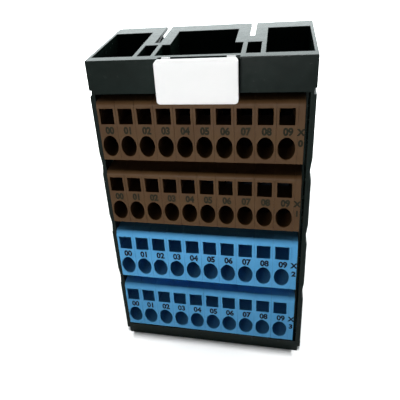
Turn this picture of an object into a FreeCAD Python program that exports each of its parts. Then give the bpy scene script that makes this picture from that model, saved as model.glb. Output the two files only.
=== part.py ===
import FreeCAD, Part
import math
import os
from FreeCAD import Vector

# Terminal rows, in millimetres
pole_pitch = 5.0
pole_count = 10
row_count = 4
face_height = 16.7
groove_height = 3.7
pole_depth = 26.0
pole_joint = 0.08
stack_gap = 0.1
lip_chamfer = 1.0
groove_depth = 9.0
end_plate_width = 1.5

# Openings of one pole, heights above the lower edge of its face
driver_width = 3.7
driver_height = 4.35
driver_level = 12.68
wire_width = 4.15
wire_height = 6.1
wire_level = 4.17
wire_crown = 1.4
entry_depth = 6.0
cell_wall = 0.35
cell_floor = 0.45

# Bus bar behind each row and the clamp spring in each pole
bar_thickness = 0.8
bar_height = 4.5
bar_overlap = 1.0
bar_seat_gap = 0.05
finger_width = 3.0
finger_length = 10.5
spring_width = 3.0
spring_thickness = 0.4
spring_clearance = 0.1
spring_inset = 1.1
spring_top_leg = 12.0
spring_leg_angle = 51.0

# Frame: foot, side walls and pocketed head in one moulding
frame_setback = 3.0
wall_thickness = 1.15
wall_relief = 0.35
relief_height = 14.25
relief_slope = 2.85
row_side_gap = 1.0
guide_setback = 8.0
guide_play = 0.05
base_height = 4.05
foot_height = 2.1
foot_inset = 0.75
head_gap = 0.85
neck_height = 1.1
neck_inset = 0.6
head_height = 7.9

# Pockets and slots in the top of the head
head_floor = 1.2
rim_front = 3.03
rim_side = 0.87
pocket_length = 23.4
pocket_width = 10.98
web = 1.2
small_pocket_width = 3.42
small_pocket_length = 9.65
centre_step_width = 2.1
slot_width = 1.42
slot_length = 15.4
top_plate = 1.0

# Label flap hung on a bar in the front of the head
flap_width = 19.65
flap_offset = 0.7
flap_drop = 10.85
flap_thickness = 1.5
flap_gap = 0.3
flap_corner_radius = 0.9
flap_rise = 0.95
bar_radius = 0.45
bar_play = 0.05
bar_level = 0.55
knuckle_radius = 0.85
knuckle_width = 2.0
knuckle_spread = 15.8
knuckle_mouth = 0.8
knuckle_gap = 0.1
arm_top = 0.4
recess_depth = 1.25
recess_height = 2.4
recess_side_gap = 0.5

# Rail seat in the back and its latch
cover_play = 0.05
cover_gap = 0.15
cover_thickness = 3.8
rail_height = 35.0
rail_play = 0.2
rail_flange = 1.0
flange_play = 0.2
seat_depth = 5.0
lip_overlap = 1.5
latch_width = 12.0
latch_wing = 1.5
latch_wing_thickness = 1.35
latch_body_depth = 3.3
track_floor = 1.0
latch_overlap = 1.3
latch_play = 0.15
latch_travel = 2.2
nose_slope = 1.0
grip_width = 6.0
grip_height = 2.4
grip_depth = 1.8
grip_level = 2.0
window_width = 11.2
window_height = 5.9
window_level = 5.6
stop_height = 1.4
stop_level = 0.7
leaf_thickness = 0.35
leaf_width = 2.2
leaf_span = 10.0
leaf_crown = 3.0
leaf_gap = 0.02

# Levels and planes worked out from the sizes above
row_spacing = face_height + groove_height
overall_front = flap_gap + flap_thickness
cover_setback = pole_depth + bar_seat_gap + bar_thickness + cover_gap
overall_back = cover_setback + cover_thickness + seat_depth
face_y = (overall_front - overall_back) / 2.0
frame_front_y = face_y + frame_setback
cover_front_y = face_y + cover_setback
back_y = face_y + overall_back
seat_y = back_y - seat_depth
head_bottom_z = base_height + row_count * row_spacing + head_gap
head_z = head_bottom_z + neck_height
top_z = head_z + head_height
rail_level = top_z / 2.0
latch_bottom = base_height + cover_play + track_floor + latch_play + latch_travel
latch_top = rail_level - rail_height / 2.0 + latch_overlap
row_length = pole_count * pole_pitch + end_plate_width
row_left = -row_length / 2.0
wall_inner = row_length / 2.0 + row_side_gap
wall_outer = wall_inner + wall_thickness
half_width = wall_outer + wall_relief
pole_width = pole_pitch - pole_joint
finger_top = cell_floor + bar_thickness
reach = 1.0


def face_level(row):
    """Height of the lower edge of a row's faces; row 0 is the top row."""
    return base_height + groove_height + (row_count - 1 - row) * row_spacing


def pole_centre(pole):
    return row_left + (pole + 0.5) * pole_pitch


def block(x0, x1, y0, y1, z0, z1):
    return Part.makeBox(x1 - x0, y1 - y0, z1 - z0, Vector(x0, y0, z0))


def along_x(points, x0, x1):
    """Prism of a closed outline of (y, z) points."""
    corners = [Vector(x0, y, z) for y, z in points]
    return Part.Face(Part.makePolygon(corners + corners[:1])).extrude(Vector(x1 - x0, 0, 0))


def along_y(points, y0, y1):
    """Prism of a closed outline of (x, z) points."""
    corners = [Vector(x, y0, z) for x, z in points]
    return Part.Face(Part.makePolygon(corners + corners[:1])).extrude(Vector(0, y1 - y0, 0))


def rod_along_x(radius, x0, x1, y, z):
    return Part.makeCylinder(radius, x1 - x0, Vector(x0, y, z), Vector(1, 0, 0))


def mirrored(shape):
    return shape.mirror(Vector(0, 0, 0), Vector(1, 0, 0))


def row_slice(x0, x1, level):
    """Housing section of a row: plain face, chamfered top edge and the groove below the face."""
    top = level + face_height
    bottom = level - groove_height + stack_gap
    rear = face_y + pole_depth
    return along_x([
        (face_y, level), (face_y, top - lip_chamfer), (face_y + lip_chamfer, top), (rear, top),
        (rear, bottom), (face_y + groove_depth, bottom), (face_y + groove_depth, level),
    ], x0, x1)


def wire_entry(x, level):
    """Core of the oval wire entry: straight sides between two arches."""
    z = level + wire_level
    half = wire_width / 2.0
    rise = wire_height / 2.0 - wire_crown
    arches = []
    for sign in (1.0, -1.0):
        spring_z = z + sign * rise
        start, end = Vector(x - sign * half, face_y, spring_z), Vector(x + sign * half, face_y, spring_z)
        crown = Vector(x, face_y, spring_z + sign * wire_crown)
        arches.append(Part.Arc(start, crown, end))
    upper, lower = arches
    right = Part.makeLine(upper.EndPoint, lower.StartPoint)
    left = Part.makeLine(lower.EndPoint, upper.StartPoint)
    outline = Part.Wire([upper.toShape(), right, lower.toShape(), left])
    return Part.Face(outline).extrude(Vector(0, entry_depth, 0))


def cell_ceiling(level):
    return level + driver_level + driver_height / 2.0


def pole_housing(row, pole):
    """One clamp pole: driver opening over the wire entry, both leading into an open-backed cell."""
    x, level = pole_centre(pole), face_level(row)
    body = row_slice(x - pole_width / 2.0, x + pole_width / 2.0, level)
    wall_y, rear_y = face_y + entry_depth, face_y + pole_depth
    cell_half, driver_half = pole_width / 2.0 - cell_wall, driver_width / 2.0
    ceiling = cell_ceiling(level)
    cell = block(x - cell_half, x + cell_half, wall_y, rear_y + reach, level + cell_floor, ceiling)
    driver = block(x - driver_half, x + driver_half, face_y - reach, wall_y,
                   ceiling - driver_height, ceiling)
    return body.cut([cell, driver, wire_entry(x, level)]).removeSplitter()


def end_plate(row):
    x0 = row_left + pole_count * pole_pitch
    return row_slice(x0, x0 + end_plate_width, face_level(row))


def clamp_spring(row, pole):
    """Strip bent to a V: a leg along the cell ceiling and a leg that slopes back to the bus finger."""
    x, level = pole_centre(pole), face_level(row)
    slope = math.radians(spring_leg_angle)
    bend_y = face_y + entry_depth + spring_inset
    bend_z = cell_ceiling(level) - spring_clearance
    tip_z = level + finger_top + spring_clearance
    tip_y = bend_y + (bend_z - tip_z) / math.tan(slope)
    return along_x([
        (bend_y + spring_top_leg, bend_z),
        (bend_y, bend_z),
        (tip_y, tip_z),
        (tip_y + spring_thickness / math.sin(slope), tip_z),
        (bend_y + spring_thickness / math.tan(slope / 2.0), bend_z - spring_thickness),
        (bend_y + spring_top_leg, bend_z - spring_thickness),
    ], x - spring_width / 2.0, x + spring_width / 2.0)


def bus_bar(row):
    """Comb: a strip across the backs of the poles with one finger into each cell."""
    level = face_level(row)
    strip_y = face_y + pole_depth + bar_seat_gap
    strip_z = level + cell_floor - bar_overlap
    first, last = pole_centre(0), pole_centre(pole_count - 1)
    half = finger_width / 2.0
    strip = block(first - half, last + half, strip_y, strip_y + bar_thickness,
                  strip_z, strip_z + bar_height)
    fingers = []
    for pole in range(pole_count):
        x = pole_centre(pole)
        fingers.append(block(x - half, x + half, strip_y - finger_length, strip_y,
                             level + cell_floor, level + finger_top))
    return strip.fuse(fingers).removeSplitter()


def side_outline():
    """Right half of the frame's front outline, from the foot up, with one raised panel per row."""
    points = [(half_width - foot_inset, 0.0), (half_width - foot_inset, foot_height)]
    points.append((half_width, foot_height))
    for row in reversed(range(row_count)):
        level = face_level(row)
        if row < row_count - 1:
            points += [(wall_outer, level - relief_slope), (half_width, level)]
        if row > 0:
            points += [(half_width, level + relief_height), (wall_outer, level + relief_height)]
    neck, neck_bottom = half_width - neck_inset, head_bottom_z - head_gap / 2.0
    points += [(half_width, neck_bottom), (neck, neck_bottom), (neck, head_z)]
    return points + [(half_width, head_z), (half_width, top_z)]


def head_pockets():
    """Cores of the head: a stepped centre pocket, small and large side pockets, slotted rear bays."""
    floor_z = head_z + head_floor
    lid_z = top_z + reach
    y0 = frame_front_y + rim_front
    y_small = y0 + small_pocket_length
    y_large = y0 + pocket_length
    large_outer = half_width - rim_side
    large_inner = large_outer - pocket_width
    small_outer = large_inner - web
    small_inner = small_outer - small_pocket_width
    centre_half = small_inner - web
    centre_back = centre_half - centre_step_width
    slot_x = (centre_back + large_inner) / 2.0
    slot_side = slot_width / 2.0
    right = [
        block(large_inner, large_outer, y0, y_large, floor_z, lid_z),
        block(small_inner, small_outer, y0, y_small, floor_z, lid_z),
        block(centre_back + web, large_inner - web, y_small + web, back_y + reach,
              floor_z, top_z - top_plate),
        block(slot_x - slot_side, slot_x + slot_side, back_y - slot_length, back_y + reach, floor_z, lid_z),
    ]
    centre = block(-centre_half, centre_half, y0, y_small, floor_z, lid_z)
    centre_rear = block(-centre_back, centre_back, y_small - reach, y_large, floor_z, lid_z)
    return right + [mirrored(core) for core in right] + [centre.fuse(centre_rear)]


def hinge_line():
    """Centre of the flap's hinge bar, in y and z."""
    y = frame_front_y + recess_depth - knuckle_gap - knuckle_radius
    return y, top_z - bar_level


def housing():
    right = side_outline()
    outline = right + [(-x, z) for x, z in reversed(right)]
    body = along_y(outline, frame_front_y, back_y)
    opening = block(-wall_inner, wall_inner, frame_front_y - reach, back_y + reach,
                    base_height, head_bottom_z)
    recess_half = flap_width / 2.0 + recess_side_gap
    recess_back = frame_front_y + recess_depth
    recess = block(flap_offset - recess_half, flap_offset + recess_half, frame_front_y - reach, recess_back,
                   top_z - recess_height, top_z + reach)
    rail_half = rail_height / 2.0 + rail_play
    rail_way = block(-half_width - reach, half_width + reach, seat_y, back_y + reach,
                     rail_level - rail_half, rail_level + rail_half)
    body = body.cut([opening, recess, rail_way] + head_pockets())
    y, z = hinge_line()
    bar = rod_along_x(bar_radius, flap_offset - recess_half, flap_offset + recess_half, y, z)
    guide = block(row_length / 2.0 + guide_play, wall_inner, face_y + guide_setback, face_y + pole_depth,
                  base_height, head_bottom_z)
    return body.fuse([bar, guide, mirrored(guide)]).removeSplitter()


def latch_section(play):
    """T-shaped section of the latch, or of its track when grown by the play."""
    front = seat_y + rail_flange + flange_play - play
    neck_y = front + latch_wing_thickness + 2.0 * play
    half = latch_width / 2.0 + play
    wing = half + latch_wing
    return front, neck_y, half, wing


def tee(play, rear, z0, z1):
    front, neck_y, half, wing = latch_section(play)
    return block(-wing, wing, front, neck_y, z0, z1).fuse(block(-half, half, front, rear, z0, z1))


def rear_cover():
    """Back plate with the rail seat, its fixed upper lip, and the track of the latch below."""
    side = wall_inner - cover_play
    body = block(-side, side, cover_front_y, back_y, base_height + cover_play, head_bottom_z - cover_play)
    low = rail_level - rail_height / 2.0 - rail_play
    high = rail_level + rail_height / 2.0 + rail_play
    lip_y = seat_y + rail_flange + flange_play
    seat = along_x([
        (seat_y, low), (seat_y, high), (lip_y, high), (lip_y, high - lip_overlap),
        (back_y, high - lip_overlap + nose_slope), (back_y + reach, high - lip_overlap + nose_slope),
        (back_y + reach, low),
    ], -half_width, half_width)
    track = tee(latch_play, back_y + reach, base_height + cover_play + track_floor, low + reach)
    front = latch_section(0.0)[0]
    stop_z = latch_bottom + window_level + stop_level
    stop = block(-window_width / 2.0 + latch_play, window_width / 2.0 - latch_play, front - latch_play,
                 front + latch_body_depth - latch_play, stop_z, stop_z + stop_height)
    return body.cut([seat, track]).fuse(stop).removeSplitter()


def rail_latch():
    """Sliding latch: T-shaped slide, sloped nose over the rail edge, spring window and driver grip."""
    front = latch_section(0.0)[0]
    rear = front + latch_body_depth
    shoulder = rail_level - rail_height / 2.0 - rail_play - latch_play
    body = tee(0.0, rear, latch_bottom, shoulder)
    half = latch_width / 2.0
    nose = along_x([
        (front, shoulder), (front, latch_top), (front + nose_slope, latch_top), (rear, shoulder),
    ], -half, half)
    window_z, grip_z = latch_bottom + window_level, latch_bottom + grip_level
    window = block(-window_width / 2.0, window_width / 2.0, front - reach, rear + reach,
                   window_z, window_z + window_height)
    grip = block(-grip_width / 2.0, grip_width / 2.0, rear - grip_depth, rear + reach,
                 grip_z, grip_z + grip_height)
    return body.fuse(nose).cut([window, grip]).removeSplitter()


def latch_spring():
    """Bent leaf with two sloped arms, between the fixed stop and the top of the latch window."""
    bottom = latch_bottom + window_level + stop_level + stop_height + leaf_gap
    crown = latch_bottom + window_level + window_height - leaf_gap
    y = latch_section(0.0)[0] + (latch_body_depth - leaf_width) / 2.0
    half, flat = leaf_span / 2.0, leaf_crown / 2.0
    rise, run = crown - bottom, half - flat
    arm = math.hypot(rise, run)
    foot = leaf_thickness * arm / rise
    tuck = leaf_thickness * (arm - run) / rise
    right = [(half - foot, bottom), (half, bottom), (flat, crown)]
    inner = (flat - tuck, crown - leaf_thickness)
    outline = [inner] + right + [(-px, pz) for px, pz in reversed(right)] + [(-inner[0], inner[1])]
    return along_y(outline, y, y + leaf_width)


def label_flap():
    """Blank label plate with rounded corners, on two arms whose open knuckles snap onto the hinge bar."""
    plate_back = face_y - flap_gap
    top = top_z + flap_rise
    half = flap_width / 2.0
    plate = block(flap_offset - half, flap_offset + half, plate_back - flap_thickness, plate_back,
                  top - flap_drop, top)
    corners = [edge for edge in plate.Edges if edge.BoundBox.YLength > flap_thickness / 2.0]
    plate = plate.makeFillet(flap_corner_radius, corners)
    y, z = hinge_line()
    hangers, bores = [], []
    for sign in (-1.0, 1.0):
        middle = flap_offset + sign * knuckle_spread / 2.0
        left, right = middle - knuckle_width / 2.0, middle + knuckle_width / 2.0
        hangers.append(block(left, right, plate_back, y, z - knuckle_radius, z + arm_top))
        hangers.append(rod_along_x(knuckle_radius, left, right, y, z))
        bores.append(rod_along_x(bar_radius + bar_play, left, right, y, z))
        bores.append(block(left, right, y - knuckle_mouth / 2.0, y + knuckle_mouth / 2.0,
                           z - knuckle_radius - reach, z))
    return plate.fuse(hangers).cut(bores).removeSplitter()


def save(shape, name):
    shape.exportStep(os.path.join("parts", name + ".step"))


def main():
    os.makedirs("parts", exist_ok=True)
    for row in range(row_count):
        for pole in range(pole_count):
            save(pole_housing(row, pole), "pole_x%d_%02d" % (row, pole))
        save(end_plate(row), "end_plate_x%d" % row)
        springs = [clamp_spring(row, pole) for pole in range(pole_count)]
        save(Part.makeCompound(springs), "clamp_springs_x%d" % row)
        save(bus_bar(row), "bus_bar_x%d" % row)
    save(housing(), "housing")
    save(rear_cover(), "rear_cover")
    save(rail_latch(), "rail_latch")
    save(latch_spring(), "latch_spring")
    save(label_flap(), "label_flap")


main()
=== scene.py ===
import math

import bmesh
import bpy
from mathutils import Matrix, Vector


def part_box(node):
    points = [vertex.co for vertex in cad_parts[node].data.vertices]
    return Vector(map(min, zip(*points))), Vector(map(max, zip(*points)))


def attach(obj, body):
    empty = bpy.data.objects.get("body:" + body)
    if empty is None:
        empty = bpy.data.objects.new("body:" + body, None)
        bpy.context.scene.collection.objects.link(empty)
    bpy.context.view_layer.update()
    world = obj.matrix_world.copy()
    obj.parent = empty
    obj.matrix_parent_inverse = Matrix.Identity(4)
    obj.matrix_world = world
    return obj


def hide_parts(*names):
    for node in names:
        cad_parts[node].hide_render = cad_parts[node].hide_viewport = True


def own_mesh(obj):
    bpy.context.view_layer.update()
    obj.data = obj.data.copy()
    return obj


MM = 0.001
ROWS = 4
POLES = 10
BLOCK = "terminal_block"

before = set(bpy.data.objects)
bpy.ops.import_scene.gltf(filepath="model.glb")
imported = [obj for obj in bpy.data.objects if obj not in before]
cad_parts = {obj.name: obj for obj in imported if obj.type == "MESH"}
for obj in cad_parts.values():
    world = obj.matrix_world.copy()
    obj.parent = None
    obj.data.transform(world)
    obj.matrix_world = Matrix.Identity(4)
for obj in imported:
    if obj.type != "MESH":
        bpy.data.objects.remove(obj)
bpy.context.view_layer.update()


# Handling pieces in the viewport's own way. Lengths are in millimetres and angles in degrees

SAME_PLACE = 0.005
SAME_POINT = 0.0005
NO_LENGTH = 0.001
SAME_PLANE = 0.3
SHARP_EDGE = 35.0
EDGE_STEPS = 2


def deselect():
    """Leaves nothing selected and nothing active."""
    bpy.ops.object.select_all(action="DESELECT")
    bpy.context.view_layer.objects.active = None


def take(piece):
    """Makes one piece the only selected and the active one."""
    deselect()
    piece.select_set(True)
    bpy.context.view_layer.objects.active = piece


def add_block(name, low, high):
    """Box between two corners in millimetres."""
    deselect()
    middle = [(a + b) / 2 * MM for a, b in zip(low, high)]
    size = [(b - a) * MM for a, b in zip(low, high)]
    bpy.ops.mesh.primitive_cube_add(size=1.0, location=middle)
    bpy.ops.transform.resize(value=size)
    bpy.ops.object.transform_apply(location=True, rotation=True, scale=True)
    bpy.context.object.name = name
    return bpy.context.object


def select_parts(piece, kind, wanted):
    """Opens a piece in edit mode with the vertices, edges or faces selected that pass a test."""
    take(piece)
    bpy.ops.object.mode_set(mode="EDIT")
    bpy.ops.mesh.select_mode(type=kind)
    bpy.ops.mesh.select_all(action="DESELECT")
    mesh = bmesh.from_edit_mesh(piece.data)
    parts = {"VERT": mesh.verts, "EDGE": mesh.edges, "FACE": mesh.faces}[kind]
    for part in parts:
        part.select_set(wanted(part))
    mesh.select_flush_mode()
    bmesh.update_edit_mesh(piece.data)


def leave_edit():
    """Goes back to object mode, with the edited mesh in the piece."""
    bpy.ops.object.mode_set(mode="OBJECT")


def near(value, millimetres):
    """Tells whether a coordinate lies at a place given in millimetres."""
    return abs(value - millimetres * MM) < SAME_PLACE * MM


def combine(piece, shape, operation):
    """Cuts one closed shape out of a piece, or joins it on, and removes the shape."""
    take(piece)
    modifier = piece.modifiers.new("combine", "BOOLEAN")
    modifier.operation = operation
    modifier.solver = "EXACT"
    modifier.object = shape
    bpy.ops.object.modifier_apply(modifier=modifier.name)
    bpy.data.objects.remove(shape)


def carve(piece, cutter):
    """Cuts one closed shape out of a piece."""
    combine(piece, cutter, "DIFFERENCE")


def join_on(piece, shape):
    """Joins one closed shape to a piece."""
    combine(piece, shape, "UNION")


def soften(piece, radius, shortest):
    """Rounds the sharp edges over a shortest length by a moulding radius, both in millimetres."""
    select_parts(piece, "EDGE", lambda edge: (
        len(edge.link_faces) == 2
        and edge.calc_face_angle() > math.radians(SHARP_EDGE)
        and edge.calc_length() > shortest * MM))
    bpy.ops.mesh.bevel(offset=radius * MM, segments=EDGE_STEPS, affect="EDGES", clamp_overlap=False)
    bpy.ops.mesh.select_all(action="SELECT")
    bpy.ops.mesh.dissolve_degenerate(threshold=NO_LENGTH * MM)
    leave_edit()
    bpy.ops.object.shade_smooth_by_angle(angle=math.radians(SHARP_EDGE))
    modifier = piece.modifiers.new("even_faces", "WEIGHTED_NORMAL")
    modifier.keep_sharp = True
    bpy.ops.object.modifier_apply(modifier=modifier.name)
    return piece


def copy_to(master, name, offset):
    """Copy of a modelled piece with its own mesh, moved into place in the mesh."""
    deselect()
    piece = master.copy()
    piece.data = master.data.copy()
    piece.name = name
    bpy.context.scene.collection.objects.link(piece)
    piece.location = offset
    take(piece)
    bpy.ops.object.transform_apply(location=True, rotation=True, scale=True)
    return piece


def merge_faces(piece):
    """Joins the loose triangles of a piece to one surface of plain faces."""
    select_parts(piece, "FACE", lambda face: True)
    bpy.ops.mesh.remove_doubles(threshold=SAME_POINT * MM)
    bpy.ops.mesh.dissolve_degenerate(threshold=NO_LENGTH * MM)
    bpy.ops.mesh.dissolve_limited(angle_limit=math.radians(SAME_PLANE))
    leave_edit()
    return piece


def moulded_copy(node, name):
    """The CAD shape as one joined surface, without what the frame notes on its node."""
    deselect()
    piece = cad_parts[node].copy()
    piece.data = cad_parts[node].data.copy()
    piece.parent = None
    for key in list(piece.keys()):
        del piece[key]
    piece.name = name
    bpy.context.scene.collection.objects.link(piece)
    take(piece)
    bpy.ops.mesh.customdata_custom_splitnormals_clear()
    return merge_faces(piece)


def dress(piece, body, material, slot, *nodes):
    """Gives a piece its finish and its body, and hides the CAD nodes that it stands for."""
    piece.data.materials.clear()
    piece.data.materials.append(material)
    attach(piece, body)
    if nodes:
        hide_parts(*nodes)


# Materials, with the sizes of their patterns in millimetres

FLOW_CLOUD = 9.0
SHEEN_PATCH = 1.6
INK_PATCH = 0.4
ROLLING_LINE = 0.2
MILK_DEPTH = 1.0


def colour(hex_value):
    """sRGB hex as linear RGBA."""
    channels = [int(hex_value[i:i + 2], 16) / 255 for i in (1, 3, 5)]
    return [c / 12.92 if c <= 0.04045 else ((c + 0.055) / 1.055) ** 2.4 for c in channels] + [1.0]


def add_node(tree, kind, inputs=(), **settings):
    """Adds a node, sets its options, and fills or links its inputs."""
    node = tree.nodes.new(kind)
    for option, value in settings.items():
        setattr(node, option, value)
    for socket, value in dict(inputs).items():
        if isinstance(value, bpy.types.NodeSocket):
            tree.links.new(value, node.inputs[socket])
        else:
            node.inputs[socket].default_value = value
    return node


def start_material(name):
    """New material with an empty tree, and the piece's own coordinates for its patterns."""
    material = bpy.data.materials.new(name)
    material.use_nodes = True
    tree = material.node_tree
    tree.nodes.clear()
    place = add_node(tree, "ShaderNodeTexCoord").outputs["Object"]
    return material, tree, place


def end_material(tree, shader):
    """Puts a finished shader on the surface."""
    add_node(tree, "ShaderNodeOutputMaterial", {"Surface": shader})


def per_metre(millimetres):
    """Texture scale that gives a pattern of this size."""
    return 1.0 / (millimetres * MM)


def moulded_plastic(name, tints, roughness, gloss, grain, depth, milky=0.0):
    """Injection moulded thermoplastic: the mould leaves a fine grain, and flow leaves faint clouds."""
    material, tree, place = start_material(name)
    clouds = add_node(tree, "ShaderNodeTexNoise", {
        "Vector": place, "Scale": per_metre(FLOW_CLOUD), "Detail": 4.0, "Roughness": 0.6})
    tint = add_node(tree, "ShaderNodeValToRGB", {"Fac": clouds.outputs["Fac"]})
    tint.color_ramp.elements[0].position = 0.36
    tint.color_ramp.elements[0].color = colour(tints[0])
    tint.color_ramp.elements[1].position = 0.64
    tint.color_ramp.elements[1].color = colour(tints[1])
    sheen = add_node(tree, "ShaderNodeTexNoise", {
        "Vector": place, "Scale": per_metre(SHEEN_PATCH), "Detail": 3.0, "Roughness": 0.6})
    rough = add_node(tree, "ShaderNodeMapRange", {
        "Value": sheen.outputs["Fac"], "From Min": 0.3, "From Max": 0.7,
        "To Min": roughness[0], "To Max": roughness[1]})
    pits = add_node(tree, "ShaderNodeTexNoise", {
        "Vector": place, "Scale": per_metre(grain), "Detail": 2.0, "Roughness": 0.55})
    bump = add_node(tree, "ShaderNodeBump", {
        "Height": pits.outputs["Fac"], "Strength": 0.35, "Distance": depth * MM})
    shader = add_node(tree, "ShaderNodeBsdfPrincipled", {
        "Base Color": tint.outputs["Color"], "Roughness": rough.outputs["Result"],
        "Normal": bump.outputs["Normal"], "IOR": 1.5, "Specular IOR Level": gloss,
        "Subsurface Weight": milky, "Subsurface Radius": (1.0, 1.0, 1.0),
        "Subsurface Scale": MILK_DEPTH * MM})
    end_material(tree, shader.outputs["BSDF"])
    return material


def rolled_metal(name, tints, roughness):
    """Strip metal from the rolling mill: fine lines along the strip."""
    material, tree, place = start_material(name)
    along = add_node(tree, "ShaderNodeMapping", {"Vector": place, "Scale": (0.06, 1.0, 1.0)})
    lines = add_node(tree, "ShaderNodeTexNoise", {
        "Vector": along.outputs["Vector"], "Scale": per_metre(ROLLING_LINE), "Detail": 3.0})
    tint = add_node(tree, "ShaderNodeValToRGB", {"Fac": lines.outputs["Fac"]})
    tint.color_ramp.elements[0].color = colour(tints[0])
    tint.color_ramp.elements[1].color = colour(tints[1])
    rough = add_node(tree, "ShaderNodeMapRange", {
        "Value": lines.outputs["Fac"], "To Min": roughness[0], "To Max": roughness[1]})
    bump = add_node(tree, "ShaderNodeBump", {
        "Height": lines.outputs["Fac"], "Strength": 0.2, "Distance": 0.01 * MM})
    shader = add_node(tree, "ShaderNodeBsdfPrincipled", {
        "Base Color": tint.outputs["Color"], "Roughness": rough.outputs["Result"],
        "Normal": bump.outputs["Normal"], "Metallic": 1.0})
    end_material(tree, shader.outputs["BSDF"])
    return material


def printed_ink(name, tints):
    """Thermal transfer marking: thin matt ink, a little uneven in cover."""
    material, tree, place = start_material(name)
    cover = add_node(tree, "ShaderNodeTexNoise", {
        "Vector": place, "Scale": per_metre(INK_PATCH), "Detail": 2.0})
    tint = add_node(tree, "ShaderNodeValToRGB", {"Fac": cover.outputs["Fac"]})
    tint.color_ramp.elements[0].position = 0.35
    tint.color_ramp.elements[0].color = colour(tints[0])
    tint.color_ramp.elements[1].position = 0.75
    tint.color_ramp.elements[1].color = colour(tints[1])
    shader = add_node(tree, "ShaderNodeBsdfPrincipled", {
        "Base Color": tint.outputs["Color"], "Roughness": 0.7, "IOR": 1.45, "Specular IOR Level": 0.1})
    end_material(tree, shader.outputs["BSDF"])
    return material


# The plastics' grain is drawn at a third of a millimetre, coarser than the real one, so that it shows.
# Glass-free PBT from an eroded mould: opaque and dull, with hardly a highlight, so that each face is
# one flat colour
brown_pbt = moulded_plastic(
    "brown_moulded_pbt", ("#47311c", "#4e3821"), (0.5, 0.62), gloss=0.14, grain=0.32, depth=0.015)
blue_pbt = moulded_plastic(
    "blue_moulded_pbt", ("#56a0d3", "#5ea8db"), (0.5, 0.62), gloss=0.03, grain=0.32, depth=0.015)
# Glass-filled polyamide from a smoother mould: near black, and its rims mirror a bright backdrop at a
# low angle
black_polyamide = moulded_plastic(
    "black_moulded_polyamide", ("#0c1512", "#111b18"), (0.2, 0.28), gloss=0.08, grain=0.36, depth=0.01)
# Moulded polycarbonate for labels: a bright milky white that lets light a little way in and softens
# its edges
white_polycarbonate = moulded_plastic(
    "white_moulded_polycarbonate", ("#f9fbfa", "#fdfefd"), (0.4, 0.5),
    gloss=0.3, grain=0.3, depth=0.012, milky=0.6)
# Rolled brass strip: its own yellow brown, darkened as painted shade so that it stays dark inside the
# openings, with a broad, faint shine
brass_strip_darkened_as_shade = rolled_metal("rolled_brass_painted_shade", ("#5c4726", "#6e5630"), (0.55, 0.65))
# Rolled spring steel strip: its own grey, darkened to a dark blue grey as painted shade so that it stays
# in the shade of the openings
spring_steel_darkened_as_shade = rolled_metal("spring_steel_painted_shade", ("#2a2d34", "#393d45"), (0.45, 0.58))
# Thermal transfer ink: matt and thin, nearly black on blue and a soft dark grey on brown
ink_on_blue = printed_ink("thermal_transfer_ink_on_blue", ("#121824", "#202938"))
ink_on_brown = printed_ink("thermal_transfer_ink_on_brown", ("#181910", "#24251a"))

ROW_PLASTIC = (brown_pbt, brown_pbt, blue_pbt, blue_pbt)
ROW_SLOT = ("brown_plastic", "brown_plastic", "blue_plastic", "blue_plastic")
ROW_INK = (ink_on_brown, ink_on_brown, ink_on_blue, ink_on_blue)


# Clamp poles and end plates, modelled once with the face at y = 0 and its lower edge at z = 0

FACE_HEIGHT = 16.7
GROOVE_HEIGHT = 3.6
GROOVE_DEPTH = 9.0
POLE_DEPTH = 26.0
POLE_HALF = 2.485
PLATE_WIDTH = 1.5
LIP_RADIUS = 1.2
LIP_STEPS = 8
CELL_START = 6.0
CELL_FLOOR = 0.45
CELL_HALF = 2.11
DRIVER_FLOOR = 10.5
DRIVER_CEILING = 14.85
DRIVER_HALF = 1.85
WIRE_TOP = 7.22
WIRE_BOTTOM = 1.2
WIRE_HALF = 2.075
WIRE_STEPS = 48
# Depths in the wire entry, from the cell to the front, and how far its floor lies below an even oval
WIRE_FLOOR = (
    (CELL_START + 0.2, -0.18), (2.6, -0.18), (0.3, 0.0), (0.18, 0.02),
    (0.1, 0.07), (0.04, 0.13), (0.01, 0.18), (-0.6, 0.2))
# How far a cutter reaches past the faces that it opens
SPARE = 1.0


def model_row_slice(name, x0, x1):
    """Block with the deep groove under the face and a rounded top front edge."""
    piece = add_block(name, (x0, 0, -GROOVE_HEIGHT), (x1, POLE_DEPTH, FACE_HEIGHT))
    carve(piece, add_block(
        "groove", (x0 - SPARE, -SPARE, -GROOVE_HEIGHT - SPARE), (x1 + SPARE, GROOVE_DEPTH, 0)))
    select_parts(piece, "EDGE", lambda edge: all(
        near(v.co.y, 0) and near(v.co.z, FACE_HEIGHT) for v in edge.verts))
    bpy.ops.mesh.bevel(offset=LIP_RADIUS * MM, segments=LIP_STEPS, affect="EDGES")
    leave_edit()
    return piece


def model_wire_entry():
    """Cutter for the wire entry: an oval bar with a rounded lower lip and a floor that rises behind."""
    start, end = WIRE_FLOOR[-1][0], WIRE_FLOOR[0][0]
    half_height = (WIRE_TOP - WIRE_BOTTOM) / 2
    deselect()
    bpy.ops.mesh.primitive_cylinder_add(
        vertices=WIRE_STEPS, radius=WIRE_HALF * MM, depth=(end - start) * MM,
        location=(0, (start + end) / 2 * MM, 0), rotation=(math.radians(90), 0, 0))
    bpy.ops.transform.resize(value=(1, 1, half_height / WIRE_HALF))
    bpy.ops.object.transform_apply(location=True, rotation=True, scale=True)
    entry = bpy.context.object
    for depth, _ in WIRE_FLOOR[1:-1]:
        select_parts(entry, "FACE", lambda face: True)
        bpy.ops.mesh.bisect(plane_co=(0, depth * MM, 0), plane_no=(0, 1, 0))
        leave_edit()
    for depth, drop in WIRE_FLOOR:
        select_parts(entry, "VERT", lambda vert: near(vert.co.y, depth) and vert.co.z < 0)
        bpy.ops.transform.resize(value=(1, 1, 1 + drop / half_height), center_override=(0, 0, 0))
        leave_edit()
    select_parts(entry, "VERT", lambda vert: True)
    bpy.ops.transform.translate(value=(0, 0, (WIRE_TOP + WIRE_BOTTOM) / 2 * MM))
    leave_edit()
    return entry


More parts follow.
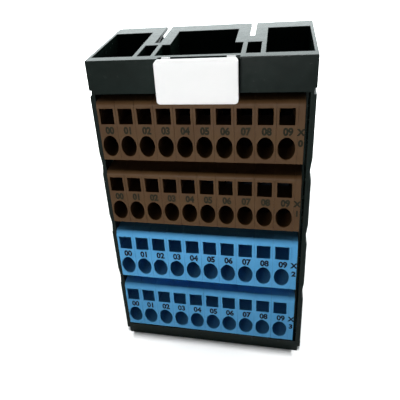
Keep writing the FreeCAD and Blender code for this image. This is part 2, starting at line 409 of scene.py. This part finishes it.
def model_pole():
    """One clamp pole: driver opening over the wire entry, both running into the cell."""
    pole = model_row_slice("pole", -POLE_HALF, POLE_HALF)
    carve(pole, add_block(
        "cell", (-CELL_HALF, CELL_START, CELL_FLOOR), (CELL_HALF, POLE_DEPTH + SPARE, DRIVER_CEILING)))
    carve(pole, add_block(
        "driver", (-DRIVER_HALF, -SPARE, DRIVER_FLOOR), (DRIVER_HALF, CELL_START + 0.5, DRIVER_CEILING)))
    carve(pole, model_wire_entry())
    return soften(pole, radius=0.05, shortest=0.15)


def model_end_plate():
    """Narrow plate without openings that closes a row."""
    return soften(model_row_slice("end_plate", 0.0, PLATE_WIDTH), radius=0.05, shortest=0.15)


pole_master = model_pole()
plate_master = model_end_plate()
for row in range(ROWS):
    for number in range(POLES):
        node = "pole_x%d_%02d" % (row, number)
        low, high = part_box(node)
        spot = ((low.x + high.x) / 2, low.y, high.z - FACE_HEIGHT * MM)
        piece = copy_to(pole_master, "clamp_" + node, spot)
        dress(piece, BLOCK, ROW_PLASTIC[row], ROW_SLOT[row], node)
    node = "end_plate_x%d" % row
    low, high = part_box(node)
    piece = copy_to(plate_master, "row_" + node, (low.x, low.y, high.z - FACE_HEIGHT * MM))
    dress(piece, BLOCK, ROW_PLASTIC[row], ROW_SLOT[row], node)
bpy.data.objects.remove(pole_master)
bpy.data.objects.remove(plate_master)


# Printed pole numbers and row marks. Levels count from the lower edge of the face

CAPITAL_SHARE = 0.72
STROKE_SPREAD = 0.14
INK_HALF = 0.01
INK_LIFT = 0.008
CURVE_STEPS = 3
NUMBER_LEVEL = 8.65
NUMBER_SHIFT = 0.3
NUMBER_HEIGHT = 2.0
NUMBER_NARROW = 0.83
ROW_MARK_LEVELS = (8.55, 5.6)
ROW_MARK_HEIGHT = 1.7
ROW_MARK_NARROW = 0.92


def add_mark(words, x, z, height, narrow, face):
    """One printed mark, standing on the face by the thickness of its ink."""
    deselect()
    bpy.ops.object.text_add()
    mark = bpy.context.object
    mark.data.body = words
    mark.data.align_x = "CENTER"
    mark.data.align_y = "CENTER"
    mark.data.size = height / CAPITAL_SHARE * MM
    mark.data.offset = STROKE_SPREAD * MM
    mark.data.extrude = INK_HALF * MM
    mark.data.resolution_u = CURVE_STEPS
    bpy.ops.object.convert(target="MESH")
    mark = bpy.context.object
    mark.rotation_euler = (math.radians(90), 0, 0)
    mark.scale.x = narrow
    mark.location = (x, face - INK_LIFT * MM, z)
    bpy.ops.object.transform_apply(location=True, rotation=True, scale=True)
    return mark


for row in range(ROWS):
    marks = []
    for number in range(POLES):
        low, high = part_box("pole_x%d_%02d" % (row, number))
        edge = high.z - FACE_HEIGHT * MM
        marks.append(add_mark(
            "%02d" % number, (low.x + high.x) / 2 + NUMBER_SHIFT * MM, edge + NUMBER_LEVEL * MM,
            NUMBER_HEIGHT, NUMBER_NARROW, low.y))
    low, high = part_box("end_plate_x%d" % row)
    edge = high.z - FACE_HEIGHT * MM
    for words, level in zip(("X", str(row)), ROW_MARK_LEVELS):
        marks.append(add_mark(
            words, (low.x + high.x) / 2, edge + level * MM, ROW_MARK_HEIGHT, ROW_MARK_NARROW, low.y))
    deselect()
    for mark in marks:
        mark.select_set(True)
    bpy.context.view_layer.objects.active = marks[0]
    bpy.ops.object.join()
    marks[0].name = "pole_numbers_x%d" % row
    dress(marks[0], BLOCK, ROW_INK[row], "black_plastic")


# Frame, cover, latch and label flap

HEAD_TOP = 95.5
HEAD_BACK = 18.8
LID_THICKNESS = 1.0
SLOT_INNER, SLOT_OUTER = 11.73, 13.15
LONG_SLOT_FRONT, LONG_SLOT_BACK, LONG_SLOT_BOTTOM = 1.0, 4.0, 94.0
SLOT_END_FRONT, SLOT_END_BACK, SLOT_END_OVERLAP = 3.0, 4.8, 0.3
FLANGES = ((-15.5, -14.6), (-11.1, -9.4), (9.4, 11.1), (14.6, 15.5))
FLANGE_THICKNESS, FLANGE_BOTTOM, FLANGE_TOP = 1.0, 88.5, 95.0
CHEEK_GAP, CHEEK_REACH = 0.08, 0.55
CHEEK_FRONT, CHEEK_BACK, CHEEK_BOTTOM = -14.0, -12.7, 93.0

frame_moulding = moulded_copy("housing", "frame_moulding")
# The left rear slot runs further forward, and the right one ends sooner
carve(frame_moulding, add_block(
    "long_slot", (-SLOT_OUTER, LONG_SLOT_FRONT, LONG_SLOT_BOTTOM),
    (-SLOT_INNER, LONG_SLOT_BACK, HEAD_TOP + SPARE)))
join_on(frame_moulding, add_block(
    "slot_end", (SLOT_INNER - SLOT_END_OVERLAP, SLOT_END_FRONT, HEAD_TOP - LID_THICKNESS),
    (SLOT_OUTER + SLOT_END_OVERLAP, SLOT_END_BACK, HEAD_TOP)))
# Flanges narrow the open back of the bays under the slots
for x0, x1 in FLANGES:
    join_on(frame_moulding, add_block(
        "flange", (x0, HEAD_BACK - FLANGE_THICKNESS, FLANGE_BOTTOM), (x1, HEAD_BACK, FLANGE_TOP)))
# Cheeks end the hinge recess close beside the flap
low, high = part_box("label_flap")
left, right = low.x / MM, high.x / MM
for x0, x1 in ((left - CHEEK_REACH, left - CHEEK_GAP), (right + CHEEK_GAP, right + CHEEK_REACH)):
    join_on(frame_moulding, add_block(
        "cheek", (x0, CHEEK_FRONT, CHEEK_BOTTOM), (x1, CHEEK_BACK, HEAD_TOP)))
soften(merge_faces(frame_moulding), radius=0.16, shortest=0.9)
dress(frame_moulding, BLOCK, black_polyamide, "black_plastic", "housing")
rail_cover = soften(moulded_copy("rear_cover", "rail_cover"), radius=0.2, shortest=0.9)
dress(rail_cover, BLOCK, black_polyamide, "black_plastic", "rear_cover")
latch_slide = soften(moulded_copy("rail_latch", "latch_slide"), radius=0.15, shortest=0.5)
dress(latch_slide, "rail_latch", black_polyamide, "black_plastic", "rail_latch")
label_plate = soften(moulded_copy("label_flap", "label_plate"), radius=0.12, shortest=0.5)
dress(label_plate, "label_flap", white_polycarbonate, "white_plastic", "label_flap")

# Springs and bus bars stay as the frame has them, in their metals, which are darkened as painted shade
for row in range(ROWS):
    for node, metal in (("clamp_springs_x%d" % row, spring_steel_darkened_as_shade), ("bus_bar_x%d" % row, brass_strip_darkened_as_shade)):
        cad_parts[node].data.materials.clear()
        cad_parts[node].data.materials.append(metal)

# The leaf stands on the cover's stop, and the latch presses it flatter by its travel; here it keeps its
# softened CAD shape, with a mesh of its own
latch_leaf = soften(moulded_copy("latch_spring", "latch_leaf"), radius=0.03, shortest=0.2)
dress(latch_leaf, BLOCK, spring_steel_darkened_as_shade, "spring_steel", "latch_spring")
low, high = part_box("latch_spring")
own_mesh(latch_leaf)


# Floor, light and camera, in metres

FLOOR_SIZE = 6.0
SHADOW_REACH = 0.05
WHITE_REACH = 0.2


def white_floor():
    """Pale studio table that keeps the contact shadow and runs out to white."""
    deselect()
    bpy.ops.mesh.primitive_plane_add(size=FLOOR_SIZE, location=(0, 0, 0))
    floor = bpy.context.object
    floor.name = "studio_floor"
    material, tree, place = start_material("studio_white")
    rays = add_node(tree, "ShaderNodeLightPath")
    # The table is white to the eye and in mirrors, and throws little light back at the block
    tone = add_node(tree, "ShaderNodeMix", {
        0: rays.outputs["Is Diffuse Ray"], 6: colour("#f4f6f6"), 7: colour("#404242")}, data_type="RGBA")
    lit = add_node(tree, "ShaderNodeBsdfDiffuse", {"Color": tone.outputs[2]})
    # Away from the block the camera sees it run out to full white, also through clear plastic
    away = add_node(tree, "ShaderNodeVectorMath", {0: place}, operation="LENGTH")
    fade = add_node(tree, "ShaderNodeMapRange", {
        "Value": away.outputs["Value"], "From Min": SHADOW_REACH, "From Max": WHITE_REACH,
        "To Min": 0.04, "To Max": 1.0})
    clear = add_node(tree, "ShaderNodeMath", {
        0: rays.outputs["Is Camera Ray"], 1: rays.outputs["Is Transmission Ray"]}, operation="MAXIMUM")
    seen = add_node(tree, "ShaderNodeMath", {
        0: clear.outputs["Value"], 1: fade.outputs["Result"]}, operation="MULTIPLY")
    white = add_node(tree, "ShaderNodeEmission", {
        "Color": colour("#ffffff"), "Strength": seen.outputs["Value"]})
    both = add_node(tree, "ShaderNodeAddShader", {0: lit.outputs["BSDF"], 1: white.outputs["Emission"]})
    end_material(tree, both.outputs["Shader"])
    floor.data.materials.append(material)
    return floor


def white_surround():
    """Surround that the camera sees as white, and that lights the block more from low than from above."""
    world = bpy.data.worlds.new("studio")
    bpy.context.scene.world = world
    world.use_nodes = True
    tree = world.node_tree
    tree.nodes.clear()
    rays = add_node(tree, "ShaderNodeLightPath")
    towards = add_node(tree, "ShaderNodeTexCoord").outputs["Generated"]
    height = add_node(tree, "ShaderNodeSeparateXYZ", {"Vector": towards}).outputs["Z"]
    shine = add_node(tree, "ShaderNodeMapRange", {
        "Value": height, "From Min": 0.25, "From Max": 0.7,
        "To Min": 1.0, "To Max": 0.05}).outputs["Result"]
    glow = add_node(tree, "ShaderNodeMapRange", {
        "Value": height, "From Min": 0.0, "From Max": 0.4,
        "To Min": 0.08, "To Max": 0.01}).outputs["Result"]
    gloss = add_node(tree, "ShaderNodeMix", {
        0: rays.outputs["Is Glossy Ray"], 2: glow, 3: shine}, data_type="FLOAT").outputs[0]
    clear = add_node(tree, "ShaderNodeMath", {
        0: rays.outputs["Is Camera Ray"], 1: rays.outputs["Is Transmission Ray"]}, operation="MAXIMUM")
    level = add_node(tree, "ShaderNodeMath", {0: gloss, 1: clear.outputs["Value"]}, operation="MAXIMUM")
    light = add_node(tree, "ShaderNodeBackground", {
        "Color": colour("#ffffff"), "Strength": level.outputs["Value"]})
    add_node(tree, "ShaderNodeOutputWorld", {"Surface": light.outputs["Background"]})


def add_softbox(name, place, target, width, height, watts):
    """Rectangular lamp at a place, turned towards a target."""
    deselect()
    bpy.ops.object.light_add(type="AREA", location=place)
    lamp = bpy.context.object
    lamp.name = name
    lamp.data.shape = "RECTANGLE"
    lamp.data.size = width
    lamp.data.size_y = height
    lamp.data.energy = watts
    lamp.rotation_euler = (Vector(target) - Vector(place)).to_track_quat("-Z", "Y").to_euler()
    return lamp


def light_only(lamp, name, *pieces):
    """Lets a lamp reach only the named pieces."""
    reached = bpy.data.collections.new(name)
    for piece in pieces:
        reached.objects.link(piece)
    lamp.light_linking.receiver_collection = reached


floor = white_floor()
white_surround()
front_lamp = add_softbox(
    "front_softbox", (-0.06, -0.9, 0.05), (-0.012, 0, 0.075), width=0.15, height=0.08, watts=0.074)
front_lamp.data.spread = math.radians(16)
back_lamp = add_softbox(
    "back_softbox", (-0.05, 0.6, 0.2), (0, 0, 0.09), width=1.2, height=0.4, watts=3.9)
back_lamp.data.color = colour("#f0ffff")[:3]
add_softbox("left_softbox", (-0.7, 0.2, 0.2), (0, 0, 0.05), width=0.5, height=0.5, watts=3.0)
add_softbox("right_softbox", (0.7, 0.2, 0.2), (0, 0, 0.05), width=0.5, height=0.5, watts=3.0)
table_lamp = add_softbox(
    "table_softbox", (0.03, -0.38, 2.0), (0, -0.03, 0), width=0.04, height=0.78, watts=41.0)
light_only(table_lamp, "table_only", floor)
top_lamp = add_softbox("top_softbox", (0, 0.1, 0.6), (0, 0, 0.09), width=0.4, height=0.4, watts=2.4)
light_only(top_lamp, "head_only", frame_moulding, rail_cover, latch_slide, label_plate)

camera = bpy.data.objects.new("camera", bpy.data.cameras.new("camera"))
bpy.context.scene.collection.objects.link(camera)
camera.location = (19.214 * MM, -127.703 * MM, 129.656 * MM)
camera.rotation_euler = [math.radians(a) for a in (61.489, 5.808, 13.701)]
camera.data.sensor_width = 36.0
camera.data.lens = 44.11
camera.data.shift_x = 0.1357
camera.data.shift_y = -0.0846
camera.data.clip_start = 0.005
bpy.context.scene.camera = camera

bpy.context.scene.view_settings.view_transform = "Standard"
